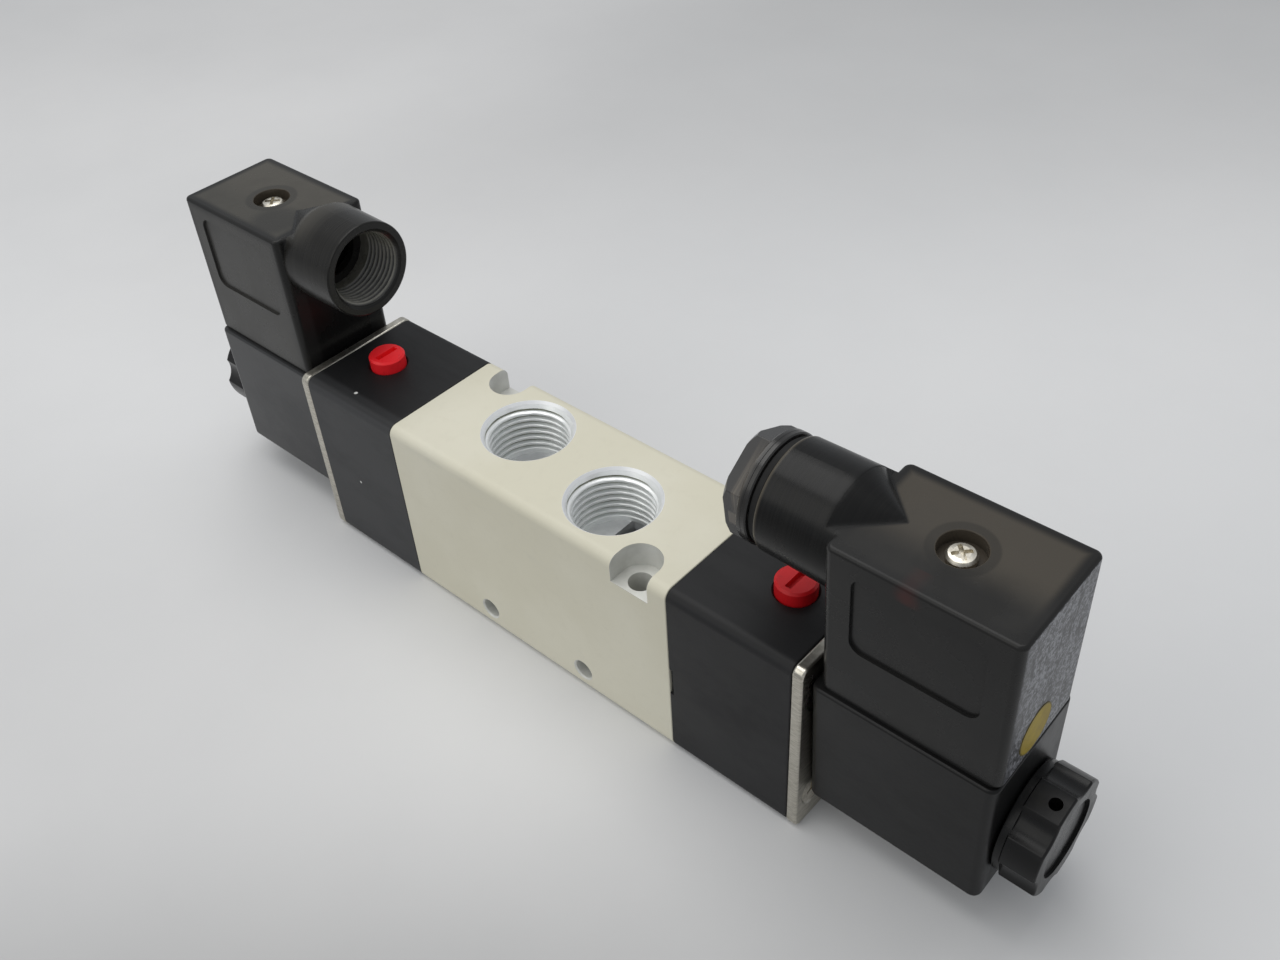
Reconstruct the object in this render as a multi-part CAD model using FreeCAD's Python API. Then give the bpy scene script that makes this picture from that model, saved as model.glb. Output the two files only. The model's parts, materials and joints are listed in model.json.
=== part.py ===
import FreeCAD, Part
import os, math
from FreeCAD import Vector as V

# Double solenoid 5/2 directional valve, millimetres.
# +X along the valve, +Z up, origin at the centre of the underside.

os.makedirs("parts", exist_ok=True)

# ---------------------------------------------------------------- driving dimensions
W = 34.0            # width of body, pilot blocks and clamp plates
H = 49.4            # height of body, pilot blocks and clamp plates
BODY_X = 42.5       # half length of the valve body
BLOCK_X = 73.6      # outer face of a pilot block
PLATE_T = 2.6       # clamp plate thickness
PLATE_X = BLOCK_X + PLATE_T
EDGE_R = 2.4        # rounding of the long edges
ZC = 23.7           # height of the spool, tube and coil axis

# ports
PORT_X = 15.87      # working ports, half distance along X
PORT_Y = 2.85       # working ports, stagger from the centre line
PORT_R = 10.48      # G1/2 thread, major radius
PORT_MOUTH_R = 11.1 # chamfered mouth
PORT_DEPTH = 14.6
EXH_X = 30.0        # exhaust ports below
EXH_R = 8.33        # G3/8 thread, major radius
EXH_MOUTH_R = 8.9
LOWER_DEPTH = 12.0

# mounting holes
POCKET_X, POCKET_Y, POCKET_R, POCKET_FLOOR = 32.5, 13.2, 5.1, 43.2
POCKET_HOLE_R = 2.75
CROSS_X, CROSS_Z, CROSS_R = 15.5, 6.1, 2.5

# spool and pistons
BORE_R = 8.0
GROOVE_R = 10.5      # ring grooves at the pressure and working ports
EXH_GROOVE_R = 9.7   # ring grooves at the exhaust ports
GROOVE_HALF = 4.0
PITCH = 15.87
STROKE = 6.0
SPOOL_AT = -STROKE / 2      # the spool is drawn at the -X end of its stroke
SPOOL_HALF = 40.5
LAND_R = 7.6
NECK_R = 4.4
SPOOL_SEAL_R = 7.95
SPOOL_SEALS = (-39.0, -18.5, -13.2, 13.2, 18.5, 39.0)
CHAMBER_R = 13.0
CHAMBER_X = 56.0
PISTON_R = 12.7
PISTON_SEAL_R = 12.95

# manual override
OVR_X = 62.3
BUTTON_R = 4.45
BUTTON_TOP = 52.5
BUTTON_BOTTOM = 44.6
OVR_TRAVEL = 1.5

# armature tube
SOCKET_X = 66.0
SOCKET_R = 9.4
TUBE_R = 5.0
TUBE_IN = 4.4
TUBE_END = 113.4
CORE_X = 95.0
PLUNGER_R = 4.34
PLUNGER_X0 = 68.6
PLUNGER_X1 = 93.2
PLUNGER_TRAVEL = 1.6
STUD_R = 3.95
STUD_END = 122.5

# coil
COIL_X0, COIL_X1 = 76.4, 115.7
COIL_HALF = 14.0
COIL_Z0, COIL_Z1 = ZC - 14.0, ZC + 22.0
COIL_BORE = 5.08
ROLL_RIGHT = 2.8    # the right coil stands turned by this many degrees about its tube

# connector
GASKET_T = 0.9
CON_X0, CON_X1 = 78.2, 115.7
CON_HALF = 13.0
CON_Z0 = COIL_Z1 + GASKET_T
CON_Z1 = 84.1
WALL = 2.0
SCREW_X = 96.95
BOSS_Z = 76.6
BOSS_R = 11.65      # at the mouth
BOSS_R1 = 11.95     # at the box
BOSS_X = 62.0       # mouth of the cable boss
BOSS_TIP = 86.4     # where the boss runs out to a point on the top face
BOSS_THREAD_R = 9.3 # PG11 thread, major radius
BOSS_THREAD_L = 14.0
RECESS_R = 4.4
RECESS_Z = 81.4
PANEL_D = 0.6       # depth of the plain panels on its long faces

# hand nut
NUT_X0 = 115.9
NUT_X1 = 125.0
NUT_R = 12.36
NUT_FLUTES = 6
NUT_HOLE_ANGLE = 104.8


# ---------------------------------------------------------------- helpers
def box(x0, x1, y0, y1, z0, z1):
    return Part.makeBox(x1 - x0, y1 - y0, z1 - z0, V(x0, y0, z0))


def cyl(r, p, d, length):
    return Part.makeCylinder(r, length, V(*p), V(*d))


def cone(r1, r2, p, d, length):
    return Part.makeCone(r1, r2, length, V(*p), V(*d))


def tube_x(r_out, r_in, x0, x1, z=ZC):
    """Ring about an axis parallel to X."""
    return cyl(r_out, (x0, 0, z), (1, 0, 0), x1 - x0).cut(
        cyl(r_in, (x0 - 1, 0, z), (1, 0, 0), x1 - x0 + 2))


def revolve_x(profile, z=ZC):
    """Solid of revolution about the line y=0, z=z from (x, r) points."""
    pts = [V(x, 0, z + r) for x, r in profile]
    pts.append(pts[0])
    face = Part.Face(Part.makePolygon(pts))
    return face.revolve(V(0, 0, z), V(1, 0, 0), 360)


def revolve_z(profile, x, y=0.0):
    """Solid of revolution about the vertical line through (x, y) from (r, z) points."""
    pts = [V(x + r, y, z) for r, z in profile]
    pts.append(pts[0])
    face = Part.Face(Part.makePolygon(pts))
    return face.revolve(V(x, y, 0), V(0, 0, 1), 360)


def edges_along(shape, axis, test):
    out = []
    for e in shape.Edges:
        if e.Curve.TypeId != "Part::GeomLine":
            continue
        a, b = e.Vertexes[0].Point, e.Vertexes[-1].Point
        d = b.sub(a)
        if d.Length < 1e-6:
            continue
        d.normalize()
        if abs(abs(d.dot(V(*axis))) - 1) < 1e-6 and test((a + b) * 0.5):
            out.append(e)
    return out


def rounded_bar(x0, x1, y_half, z0, z1, r):
    """Bar along X with its four long edges rounded."""
    b = box(x0, x1, -y_half, y_half, z0, z1)
    return b.makeFillet(r, edges_along(b, (1, 0, 0), lambda m: True))


def eased_ends(shape, xs, r):
    """Rounds the outline edges that lie in the planes x = each of xs."""
    pick = [e for e in shape.Edges
            if any(abs(e.BoundBox.XMin - x) < 1e-6 and abs(e.BoundBox.XMax - x) < 1e-6 for x in xs)]
    return shape.makeFillet(r, pick)


def rounded_post(x0, x1, y_half, z0, z1, r):
    """Block with its four vertical edges rounded."""
    b = box(x0, x1, -y_half, y_half, z0, z1)
    return b.makeFillet(r, edges_along(b, (0, 0, 1), lambda m: True))


def port(x, y, r, mouth_r, z_face, depth, up):
    """Threaded port as a plain bore at the major radius with a chamfered mouth."""
    s = 1 if up else -1
    d = (0, 0, -s)
    c = cyl(r, (x, y, z_face + s), d, depth + 1)
    ch = mouth_r - r
    c = c.fuse(cone(mouth_r + 1.0, r, (x, y, z_face + s * 1.0), d, 1.0 + ch))
    return c


def spring(p, axis, r_mean, wire_r, length, turns):
    """Compression spring whose coils start at p and run along axis."""
    h = length - 2 * wire_r
    helix = Part.makeHelix(h / turns, h, r_mean)
    prof = Part.Wire([Part.makeCircle(wire_r, V(r_mean, 0, 0), V(0, 1, 0))])
    s = Part.Wire(helix.Edges).makePipeShell([prof], True, True)
    rot = FreeCAD.Rotation(V(0, 0, 1), V(*axis))
    start = V(*p).add(V(*axis).multiply(wire_r))
    s.Placement = FreeCAD.Placement(start, rot)
    return s


nodes = {}


def add(name, *shapes):
    nodes[name] = list(shapes)


def side_add(name, side, shape_or_list, roll=False):
    """The solenoid ends are the same product, the left one turned half a turn about Z."""
    shapes = shape_or_list if isinstance(shape_or_list, (list, tuple)) else [shape_or_list]
    out = []
    for s in shapes:
        s = s.copy()
        if roll and side == "right":
            s.rotate(V(0, 0, ZC), V(1, 0, 0), ROLL_RIGHT)
        if side == "left":
            s.rotate(V(0, 0, 0), V(0, 0, 1), 180)
        out.append(s)
    add(side + "_" + name, *out)


# ---------------------------------------------------------------- valve body
body = eased_ends(rounded_bar(-BODY_X, BODY_X, W / 2, 0, H, EDGE_R), (-BODY_X, BODY_X), 0.3)
cuts = [cyl(BORE_R, (-BODY_X - 1, 0, ZC), (1, 0, 0), 2 * BODY_X + 2)]
for k in range(-2, 3):
    cuts.append(cyl(EXH_GROOVE_R if abs(k) == 2 else GROOVE_R, (k * PITCH - GROOVE_HALF, 0, ZC), (1, 0, 0), 2 * GROOVE_HALF))
# working ports above, pressure port and exhaust ports below
cuts.append(port(-PORT_X, PORT_Y, PORT_R, PORT_MOUTH_R, H, PORT_DEPTH, True))
cuts.append(port(PORT_X, -PORT_Y, PORT_R, PORT_MOUTH_R, H, PORT_DEPTH, True))
cuts.append(port(0, 0, PORT_R, PORT_MOUTH_R, 0, LOWER_DEPTH, False))
for s in (-1, 1):
    cuts.append(port(s * EXH_X, 0, EXH_R, EXH_MOUTH_R, 0, LOWER_DEPTH, False))
# drillings from the port floors into the ring grooves
for s in (-1, 1):
    cuts.append(box(s * PORT_X - 3.4, s * PORT_X + 3.4, -6.5, 6.5, ZC + 6.5, H - PORT_DEPTH + 0.5))
    cuts.append(box(s * 31.74 - 3.2, s * 31.74 + 3.2, -4.6, 4.6, LOWER_DEPTH - 0.5, ZC - 6.5))
cuts.append(box(-3.4, 3.4, -6.5, 6.5, LOWER_DEPTH - 0.5, ZC - 6.5))
# counterbored mounting pockets, open to the side
for s in (-1, 1):
    x, y = s * POCKET_X, -s * POCKET_Y
    cuts.append(cyl(POCKET_R, (x, y, POCKET_FLOOR), (0, 0, 1), 12))
    y_out = -s * (W / 2 + 2)
    cuts.append(box(x - POCKET_R, x + POCKET_R, min(y, y_out), max(y, y_out), POCKET_FLOOR, H + 5))
    cuts.append(cyl(POCKET_HOLE_R, (x, y, -1), (0, 0, 1), H + 2))
    cuts.append(cone(POCKET_HOLE_R + 0.4, POCKET_HOLE_R, (x, y, 0), (0, 0, 1), 0.4))
# cross holes through the width
for s in (-1, 1):
    cuts.append(cyl(CROSS_R, (s * CROSS_X, -W, CROSS_Z), (0, 1, 0), 2 * W))
    for f in (-1, 1):
        cuts.append(cone(CROSS_R + 0.35, CROSS_R, (s * CROSS_X, f * W / 2, CROSS_Z), (0, -f, 0), 0.35))
# pilot channels from the pressure groove to each end
PILOT_Y = 14.2
for s in (-1, 1):
    cuts.append(cyl(1.0, (0, s * PILOT_Y, ZC), (s, 0, 0), BODY_X + 1))
    cuts.append(cyl(1.0, (0, s * 9.5, ZC), (0, s, 0), PILOT_Y - 9.5))
# tapped holes for the end screws
SCREWS = [(-11.0, ZC - 15.3), (11.0, ZC - 15.3), (-11.0, ZC + 15.3), (11.0, ZC + 15.3)]
SCREW_R = 2.0
for s in (-1, 1):
    for y, z in SCREWS:
        cuts.append(cyl(SCREW_R + 0.05, (s * (BODY_X + 1), y, z), (-s, 0, 0), 7.4))
for c in cuts:
    body = body.cut(c)
add("valve_body", body)

# ---------------------------------------------------------------- spool, seals and pistons
prof = [(-SPOOL_HALF, 0.0), (-SPOOL_HALF, LAND_R - 0.5), (-SPOOL_HALF + 0.5, LAND_R)]
GR = 6.0
for i, sx in enumerate(SPOOL_SEALS):
    half = 1.9
    x0, x1 = sx - half, sx + half
    if i == 0:
        x0 = None
    if i == len(SPOOL_SEALS) - 1:
        x1 = None
    if x0 is not None:
        prof += [(x0, NECK_R), (x0, LAND_R)]
    prof += [(sx - 1.0, LAND_R), (sx - 1.0, GR), (sx + 1.0, GR), (sx + 1.0, LAND_R)]
    if x1 is not None:
        prof += [(x1, LAND_R), (x1, NECK_R)]
prof += [(SPOOL_HALF - 0.5, LAND_R), (SPOOL_HALF, LAND_R - 0.5), (SPOOL_HALF, 0.0)]
spool = revolve_x([(x + SPOOL_AT, r) for x, r in prof])
# centre drilling in each end
for s in (-1, 1):
    spool = spool.cut(cyl(1.6, (s * (SPOOL_HALF + 1) + SPOOL_AT, 0, ZC), (-s, 0, 0), 6))
add("spool", spool)
add("spool_seals", *[
    revolve_x([(sx + SPOOL_AT - 0.98, GR), (sx + SPOOL_AT - 0.98, SPOOL_SEAL_R - 0.5),
               (sx + SPOOL_AT - 0.5, SPOOL_SEAL_R), (sx + SPOOL_AT + 0.5, SPOOL_SEAL_R),
               (sx + SPOOL_AT + 0.98, SPOOL_SEAL_R - 0.5), (sx + SPOOL_AT + 0.98, GR)])
    for sx in SPOOL_SEALS])

for side, s in (("left", -1), ("right", 1)):
    a = s * SPOOL_HALF
    p = revolve_x([(s * x + SPOOL_AT, r) for x, r in [
        (SPOOL_HALF, 0.0), (SPOOL_HALF, 7.1), (46.0, 7.1), (46.0, PISTON_R - 0.4),
        (46.4, PISTON_R), (47.9, PISTON_R), (47.9, 10.8), (50.1, 10.8), (50.1, PISTON_R),
        (51.6, PISTON_R), (52.0, PISTON_R - 0.4), (52.0, 7.0), (50.4, 6.0), (50.4, 0.0)]])
    add(side + "_piston", p)
    add(side + "_piston_seal", revolve_x([(s * x + SPOOL_AT, r) for x, r in [
        (47.95, 10.8), (47.95, PISTON_SEAL_R - 0.6), (48.5, PISTON_SEAL_R), (49.5, PISTON_SEAL_R),
        (50.05, PISTON_SEAL_R - 0.6), (50.05, 10.8)]]))

# ---------------------------------------------------------------- one solenoid end, drawn at +X
# pilot block
block = eased_ends(rounded_bar(BODY_X, BLOCK_X, W / 2, 0, H, EDGE_R), (BODY_X, BLOCK_X), 0.35)
for c in [
    cyl(CHAMBER_R, (BODY_X - 1, 0, ZC), (1, 0, 0), CHAMBER_X - BODY_X + 1),
    tube_x(15.5, 13.9, BODY_X - 1, BODY_X + 1.2),
    cyl(SOCKET_R, (SOCKET_X, 0, ZC), (1, 0, 0), 20),
    cyl(1.1, (CHAMBER_X - 1, 0, ZC), (1, 0, 0), 12),
    cyl(2.5, (64.0, 0, ZC), (1, 0, 0), 4),
    # override bore: button counterbore, then stem bore down to the pilot passage
    cyl(BUTTON_R + 0.1, (OVR_X, 0, 42.6), (0, 0, 1), 20),
    cone(BUTTON_R + 0.1, BUTTON_R + 0.5, (OVR_X, 0, H - 0.4), (0, 0, 1), 0.4),
    cyl(3.05, (OVR_X, 0, 35.0), (0, 0, 1), 10),
    cyl(1.55, (OVR_X, 0, ZC - 0.5), (0, 0, 1), 14),
    # pilot feed
    cyl(1.0, (BODY_X - 1, PILOT_Y, ZC), (1, 0, 0), 24.5),
    cyl(1.0, (65.0, PILOT_Y, ZC), (0, -1, 0), 5.5),
    # tab notch in the joint edge, near side
    box(BODY_X - 1, BODY_X + 1.1, -W / 2 - 1, -W / 2 + 0.8, 18.6, 26.4),
]:
    block = block.cut(c)
for y, z in SCREWS:
    block = block.cut(cyl(SCREW_R + 0.15, (BODY_X - 1, y, z), (1, 0, 0), 50))

bore_seal = revolve_x([(BODY_X + 0.02, 13.95), (BODY_X + 0.02, 15.45), (BODY_X + 1.15, 15.45), (BODY_X + 1.15, 13.95)])
nozzle = revolve_x([(64.0, 0.7), (64.0, 2.5), (67.4, 2.5), (67.9, 1.5), (67.9, 0.7)])

# override
button = revolve_z([(0, BUTTON_BOTTOM), (BUTTON_R - 0.5, BUTTON_BOTTOM), (BUTTON_R, BUTTON_BOTTOM + 0.5),
                    (BUTTON_R, BUTTON_TOP - 0.5), (BUTTON_R - 0.5, BUTTON_TOP), (0, BUTTON_TOP)], OVR_X)
button = button.cut(box(OVR_X - 0.75, OVR_X + 0.75, -3.0, 3.0, BUTTON_TOP - 1.3, BUTTON_TOP + 1))
button = button.cut(cyl(1.5, (OVR_X, 0, BUTTON_BOTTOM - 1), (0, 0, 1), 3.5))
stem = revolve_z([(0, BUTTON_BOTTOM + 2.4), (1.45, BUTTON_BOTTOM + 2.4), (1.45, BUTTON_BOTTOM - 0.3),
                  (1.95, BUTTON_BOTTOM - 0.3), (1.95, BUTTON_BOTTOM - 1.6), (1.45, BUTTON_BOTTOM - 1.6),
                  (1.45, 41.6), (2.95, 41.6), (2.95, 40.9), (2.0, 40.9), (2.0, 39.3), (2.95, 39.3),
                  (2.95, 38.6), (1.45, 38.6), (1.45, 27.4), (0.5, 25.6), (0, 25.6)], OVR_X)
stem_seal = revolve_z([(2.0, 39.35), (2.7, 39.35), (3.0, 39.7), (3.0, 40.5), (2.7, 40.85), (2.0, 40.85)], OVR_X)
ovr_spring = spring((OVR_X, 0, 35.05), (0, 0, 1), 2.25, 0.32, 3.45, 3.0)

# clamp plate with countersunk screws
plate = eased_ends(rounded_bar(BLOCK_X, PLATE_X, W / 2, 0, H, EDGE_R - 0.4), (BLOCK_X, PLATE_X), 0.55)
plate = plate.cut(cyl(TUBE_R + 0.6, (BLOCK_X - 1, 0, ZC), (1, 0, 0), 10))
screws = []
for y, z in SCREWS:
    plate = plate.cut(cyl(SCREW_R + 0.15, (BLOCK_X - 1, y, z), (1, 0, 0), 10))
    plate = plate.cut(cone(SCREW_R, 4.2, (PLATE_X - 2.2, y, z), (1, 0, 0), 2.2))
    sc = cyl(SCREW_R, (BODY_X - 5.9, y, z), (1, 0, 0), PLATE_X - BODY_X + 5.9 - 1.6)
    sc = sc.fuse(cone(SCREW_R - 0.05, 3.75, (PLATE_X - 2.15, y, z), (1, 0, 0), 1.9))
    sc = sc.cut(cyl(0.9, (PLATE_X - 1.5, y, z), (1, 0, 0), 3))
    for a in (0, 90):
        slot = box(PLATE_X - 1.25, PLATE_X + 1, -1.9, 1.9, -0.4, 0.4)
        slot.rotate(V(PLATE_X, 0, 0), V(1, 0, 0), a + 20)
        slot.translate(V(0, y, z))
        sc = sc.cut(slot)
    screws.append(sc)

# armature tube, fixed core, plunger and its spring
tube = revolve_x([(SOCKET_X + 3.4, TUBE_IN), (SOCKET_X + 3.4, SOCKET_R - 0.1), (BLOCK_X - 0.02, SOCKET_R - 0.1),
                  (BLOCK_X - 0.02, TUBE_R), (TUBE_END, TUBE_R), (TUBE_END, TUBE_IN)])
core = revolve_x([(CORE_X, 0.0), (CORE_X, TUBE_IN), (TUBE_END, TUBE_IN), (TUBE_END, STUD_R),
                  (STUD_END - 0.6, STUD_R), (STUD_END, STUD_R - 0.6), (STUD_END, 0.0)])
core = core.cut(cyl(1.15, (CORE_X - 1, 0, ZC), (1, 0, 0), 3))
plunger = revolve_x([(PLUNGER_X0, 0.0), (PLUNGER_X0, 3.4), (PLUNGER_X0 + 0.6, 4.0), (PLUNGER_X0 + 1.4, PLUNGER_R),
                     (PLUNGER_X1 - 0.4, PLUNGER_R), (PLUNGER_X1, PLUNGER_R - 0.4), (PLUNGER_X1, 0.0)])
plunger = plunger.cut(cyl(2.1, (85.4, 0, ZC), (1, 0, 0), 20))
plunger = plunger.cut(cyl(2.2, (PLUNGER_X0 - 1, 0, ZC), (1, 0, 0), 2.6))
plunger_seal = cyl(2.2, (67.95, 0, ZC), (1, 0, 0), PLUNGER_X0 + 1.6 - 67.95)
plunger_spring = spring((85.45, 0, ZC), (1, 0, 0), 1.6, 0.32, CORE_X - 85.5, 6.5)

# coil: moulded housing, bobbin, winding and terminals
coil = rounded_post(COIL_X0, COIL_X1, COIL_HALF, COIL_Z0, COIL_Z1, 2.0)
coil = coil.makeFillet(1.2, [e for e in coil.Edges if abs(e.BoundBox.ZMax - COIL_Z0) < 1e-6])
coil = coil.makeFillet(0.6, [e for e in coil.Edges if abs(e.BoundBox.ZMin - COIL_Z1) < 1e-6])
coil = coil.cut(cyl(12.7, (COIL_X0 + 2.6, 0, ZC), (1, 0, 0), COIL_X1 - COIL_X0 - 5.2))
coil = coil.cut(cyl(COIL_BORE, (COIL_X0 - 1, 0, ZC), (1, 0, 0), 50))
coil = coil.cut(cyl(1.55, (SCREW_X, 0, 37.6), (0, 0, 1), 20))
B0, B1 = COIL_X0 + 2.7, COIL_X1 - 2.7
bobbin = revolve_x([(B0, COIL_BORE), (B0, 12.5), (B0 + 1.4, 12.5), (B0 + 1.4, 6.4), (B1 - 1.4, 6.4),
                    (B1 - 1.4, 12.5), (B1, 12.5), (B1, COIL_BORE)])
winding = revolve_x([(B0 + 1.5, 6.45), (B0 + 1.5, 11.7), (B1 - 1.5, 11.7), (B1 - 1.5, 6.45)])
PIN = [(SCREW_X - 5.5, 0.0, 0.4, 3.15), (SCREW_X + 5.5, 0.0, 0.4, 3.15), (SCREW_X, 8.2, 3.15, 0.4)]
terminals = []
for x, y, hx, hy in PIN:
    t = box(x - hx, x + hx, y - hy, y + hy, COIL_Z1 - 4.0, COIL_Z1 + 10.5)
    coil = coil.cut(box(x - hx, x + hx, y - hy, y + hy, COIL_Z1 - 4.0, COIL_Z1 + 1))
    for e in (1,):
        ax = (0, 1, 0) if hx > hy else (1, 0, 0)
        t = t.makeChamfer(1.0, edges_along(t, (1, 0, 0) if hx < hy else (0, 1, 0),
                                           lambda m: m.z > COIL_Z1 + 10))
    terminals.append(t)

# gasket between coil and connector
gasket = rounded_post(CON_X0 + 0.2, CON_X1 - 0.2, CON_HALF - 0.2, COIL_Z1, CON_Z0, 2.0)
gasket = gasket.cut(cyl(2.2, (SCREW_X, 0, COIL_Z1 - 1), (0, 0, 1), 5))
for x, y, hx, hy in PIN:
    gasket = gasket.cut(box(x - hx - 0.3, x + hx + 0.3, y - hy - 0.3, y + hy + 0.3, COIL_Z1 - 1, CON_Z0 + 1))

# connector housing with its cable boss
con = rounded_post(CON_X0, CON_X1, CON_HALF, CON_Z0, CON_Z1, 1.6)
con = con.makeFillet(0.8, [e for e in con.Edges if abs(e.BoundBox.ZMin - CON_Z1) < 1e-6])
boss = revolve_x([(BOSS_X, 0), (BOSS_X, BOSS_R - 0.4), (BOSS_X + 0.12, BOSS_R - 0.12), (BOSS_X + 0.4, BOSS_R),
                  (CON_X0 + 0.8, BOSS_R1), (CON_X0 + 0.8, 0)], BOSS_Z)
boss = boss.cut(box(76.2, 80.0, -14, 14, CON_Z1, 95.0))
con = con.fuse(boss)
# above the top face the boss runs out as an oblique cone
ring0 = Part.Wire([Part.makeCircle(BOSS_R1 - 0.07, V(76.1, 0, BOSS_Z), V(1, 0, 0))])
ring1 = Part.Wire([Part.makeCircle(0.15, V(BOSS_TIP, 0, CON_Z1 - 0.12), V(1, 0, 0))])
con = con.fuse(Part.makeLoft([ring0, ring1], True, True))
cavity = box(CON_X0 + WALL, CON_X1 - WALL, -CON_HALF + WALL, CON_HALF - WALL, CON_Z0 - 1, CON_Z1 - WALL)
cavity = cavity.cut(cyl(6.2, (SCREW_X, 0, 62.0), (0, 0, 1), 40))
con = con.cut(cavity)
for c in [
    cyl(BOSS_THREAD_R, (BOSS_X - 1, 0, BOSS_Z), (1, 0, 0), BOSS_THREAD_L + 1),
    cone(BOSS_THREAD_R + 1.6, BOSS_THREAD_R, (BOSS_X - 1, 0, BOSS_Z), (1, 0, 0), 1.6),
    cyl(6.6, (BOSS_X, 0, BOSS_Z), (1, 0, 0), CON_X0 + WALL + 1 - BOSS_X),
    cyl(RECESS_R, (SCREW_X, 0, RECESS_Z), (0, 0, 1), 20),
    cyl(1.8, (SCREW_X, 0, 50), (0, 0, 1), 40),
    cone(RECESS_R, RECESS_R + 0.7, (SCREW_X, 0, CON_Z1 - 0.12), (0, 0, 1), 0.7),
]:
    con = con.cut(c)
# shallow recessed panel on both long faces
for s in (-1, 1):
    panel = box(84.0, 110.0, -PANEL_D, 1.0, 61.0, 80.2)
    panel = panel.makeFillet(2.8, edges_along(panel, (0, 1, 0), lambda m: True))
    if s < 0:
        panel = panel.mirror(V(0, 0, 0), V(0, 1, 0))
    panel.translate(V(0, s * CON_HALF, 0))
    con = con.cut(panel)

# terminal block inside the connector
tb = box(82.2, 111.7, -10.4, 10.4, CON_Z0 + 0.4, 58.4)
tb = tb.makeFillet(0.8, edges_along(tb, (0, 0, 1), lambda m: True))
tb = tb.cut(cyl(2.2, (SCREW_X, 0, 40), (0, 0, 1), 40))
for x, y, hx, hy in PIN:
    tb = tb.cut(box(x - hx - 0.3, x + hx + 0.3, y - hy - 0.3, y + hy + 0.3, CON_Z0 - 1, COIL_Z1 + 10.9))
CLAMPS = [(86.6, 6.2), (107.3, -6.2), (107.3, 6.2)]
clamps = []
for x, y in CLAMPS:
    tb = tb.cut(cyl(2.55, (x, y, 52.0), (0, 0, 1), 20))
    tb = tb.cut(box(x - 1.6, x + 1.6, min(y, math.copysign(12, y)), max(y, math.copysign(12, y)), 52.0, 55.2))
    c = revolve_z([(0, 52.0), (2.5, 52.0), (2.5, 58.6), (2.1, 59.2), (0, 59.2)], x, y)
    c = c.cut(box(x - 3, x + 3, y - 0.4, y + 0.4, 58.0, 60))
    clamps.append(c)
# indicator lamp standing on two legs in the terminal block
LX, LY = 89.6, -7.6
lamp = revolve_z([(0, 70.2), (2.9, 70.2), (2.9, 71.2), (2.5, 71.2), (2.5, 76.2), (2.2, 77.4), (1.4, 78.3), (0, 78.7)], LX, LY)
for dx in (-1.27, 1.27):
    lamp = lamp.fuse(box(LX + dx - 0.25, LX + dx + 0.25, LY - 0.25, LY + 0.25, 56.0, 70.4))
    tb = tb.cut(box(LX + dx - 0.25, LX + dx + 0.25, LY - 0.25, LY + 0.25, 56.0, 60))

# connector screw
cscrew = revolve_z([(0, 83.3), (1.5, 83.3), (2.35, 83.08), (2.78, 82.6), (2.78, RECESS_Z + 0.02), (1.5, RECESS_Z + 0.02),
                    (1.5, 39.0), (1.1, 38.4), (0, 38.4)], SCREW_X)
for a in (45, 135):
    slot = box(-1.85, 1.85, -0.42, 0.42, 82.1, 85)
    slot.rotate(V(0, 0, 0), V(0, 0, 1), a)
    slot.translate(V(SCREW_X, 0, 0))
    cscrew = cscrew.cut(slot)

# hand nut on the threaded stud: six wide flutes in front of a plain collar
nut = revolve_x([(NUT_X0 + 1.7, 0.0), (NUT_X0 + 1.7, NUT_R - 0.25), (NUT_X0 + 1.95, NUT_R),
                 (NUT_X1, NUT_R), (NUT_X1, 0.0)])
for k in range(NUT_FLUTES):
    a = math.radians(NUT_HOLE_ANGLE - ROLL_RIGHT + (k + 0.5) * 360.0 / NUT_FLUTES)
    nut = nut.cut(cyl(5.92, (NUT_X0, 16.92 * math.cos(a), ZC + 16.92 * math.sin(a)), (1, 0, 0), NUT_X1 - NUT_X0 + 1))
nut = nut.makeFillet(0.35, edges_along(nut, (1, 0, 0), lambda m: True))
nut = eased_ends(nut, (NUT_X1,), 0.5)
nut = nut.fuse(revolve_x([(NUT_X0, 0.0), (NUT_X0, 11.5), (NUT_X0 + 0.3, 11.8), (NUT_X0 + 1.9, 11.8), (NUT_X0 + 1.9, 0.0)]))
nut = nut.cut(cyl(8.4, (NUT_X1 - 0.7, 0, ZC), (1, 0, 0), 3))
nut = nut.cut(cyl(STUD_R + 0.06, (NUT_X0 - 1, 0, ZC), (1, 0, 0), 8.2))
nut = nut.cut(tube_x(10.0, 6.2, NUT_X0 - 1, NUT_X0 + 2.4))
a = math.radians(NUT_HOLE_ANGLE - ROLL_RIGHT)
nut = nut.cut(cyl(1.3, (122.3, 6.0 * math.cos(a), ZC + 6.0 * math.sin(a)), (0, math.cos(a), math.sin(a)), 12))

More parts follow.
